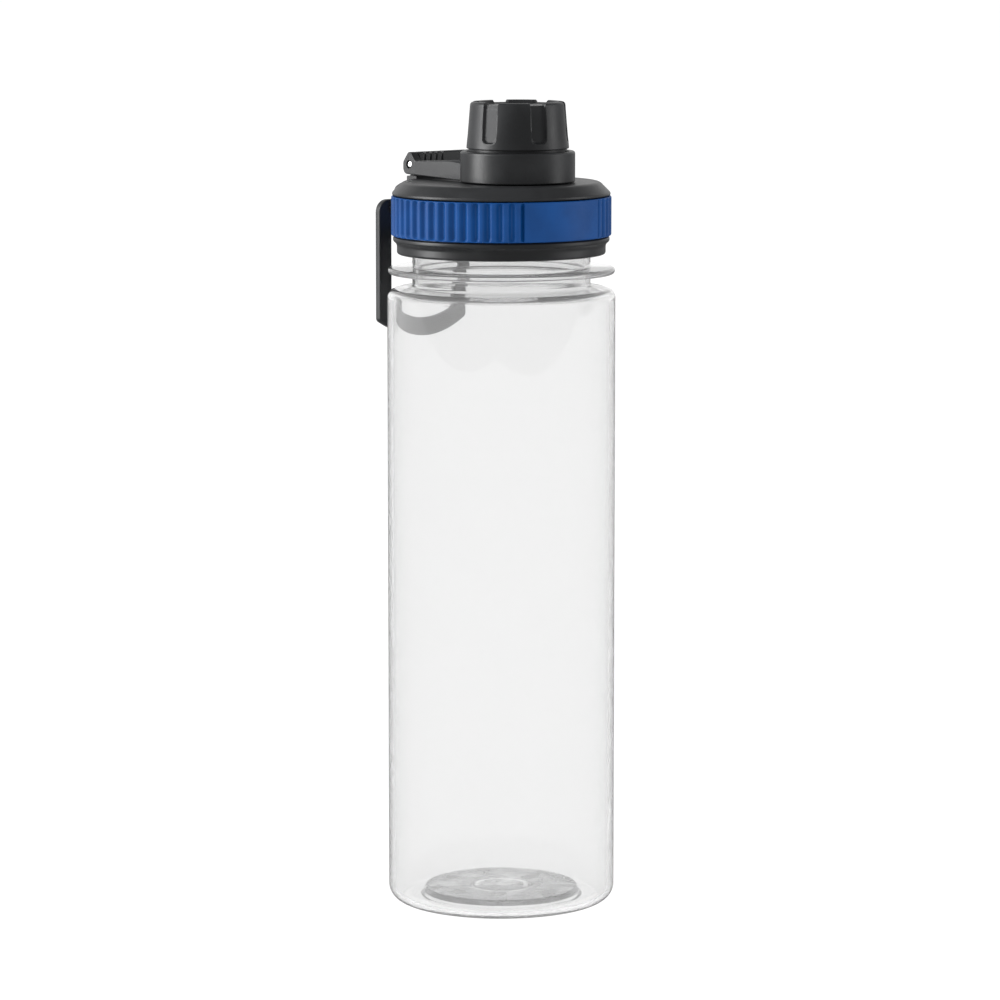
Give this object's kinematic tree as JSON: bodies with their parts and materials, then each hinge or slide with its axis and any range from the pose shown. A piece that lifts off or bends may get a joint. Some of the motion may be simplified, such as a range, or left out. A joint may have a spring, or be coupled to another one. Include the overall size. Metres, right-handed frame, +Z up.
{
  "type": "screw-top drinking bottle",
  "caption": "Tall clear cylindrical drinking bottle with a black screw lid, a blue ribbed grip ring, a hinged screw spout cap and a flat carry loop.",
  "frame": {"origin": "centre of the bottle's foot, on the bottle's axis, on the surface it stands on", "axes": "+Z up along the bottle's axis, +Y towards the cap's hinge and the carry loop, +X across"},
  "size_m": [0.072, 0.0791, 0.2551],
  "materials": {
    "clear_plastic": "water-clear moulded copolyester, glossy",
    "black_plastic": "black moulded polypropylene, fine satin texture",
    "blue_soft_touch": "blue soft-touch elastomer, satin",
    "silicone": "translucent grey silicone, matt",
    "steel": "plain stainless steel pin, cut ends"
  },
  "bodies": {
    "bottle": {"bottle_body": "clear_plastic"},
    "lid_carrier": {"lid_gasket": "silicone"},
    "lid": {"lid_insert": "black_plastic", "lid_cover": "black_plastic", "grip_ring": "blue_soft_touch", "hinge_pin": "steel", "loop_pin": "steel"},
    "tether": {"tether_collar": "black_plastic"},
    "cap_carrier": {"cap_seal": "silicone"},
    "cap": {"spout_cap": "black_plastic"},
    "loop": {"carry_loop": "black_plastic"}
  },
  "joints": [
    {"name": "lid_lift", "type": "slide", "parent": "bottle", "child": "lid_carrier", "axis": [0, 0, 1], "range_m": [0, 0.024]},
    {"name": "lid_turn", "type": "hinge", "parent": "lid_carrier", "child": "lid", "pos_m": [0, 0, 0.2], "axis": [0, 0, 1], "range_deg": [0, 1080]},
    {"name": "tether_hinge", "type": "hinge", "parent": "lid", "child": "tether", "pos_m": [0, 0.0302, 0.2342], "axis": [-1, 0, 0], "range_deg": [0, 120]},
    {"name": "cap_lift", "type": "slide", "parent": "tether", "child": "cap_carrier", "axis": [0, 0, 1], "range_m": [0, 0.006]},
    {"name": "cap_turn", "type": "hinge", "parent": "cap_carrier", "child": "cap", "pos_m": [0, -0.008, 0.241], "axis": [0, 0, 1], "range_deg": [0, 540]},
    {"name": "loop_hinge", "type": "hinge", "parent": "lid", "child": "loop", "pos_m": [0, 0.0407, 0.2202], "axis": [1, 0, 0], "range_deg": [0, 95]}
  ],
  "couplings": [
    {"joint": "lid_lift", "follows": "lid_turn", "m_per_rad": 0.0012732},
    {"joint": "cap_lift", "follows": "cap_turn", "m_per_rad": 0.00063662}
  ]
}
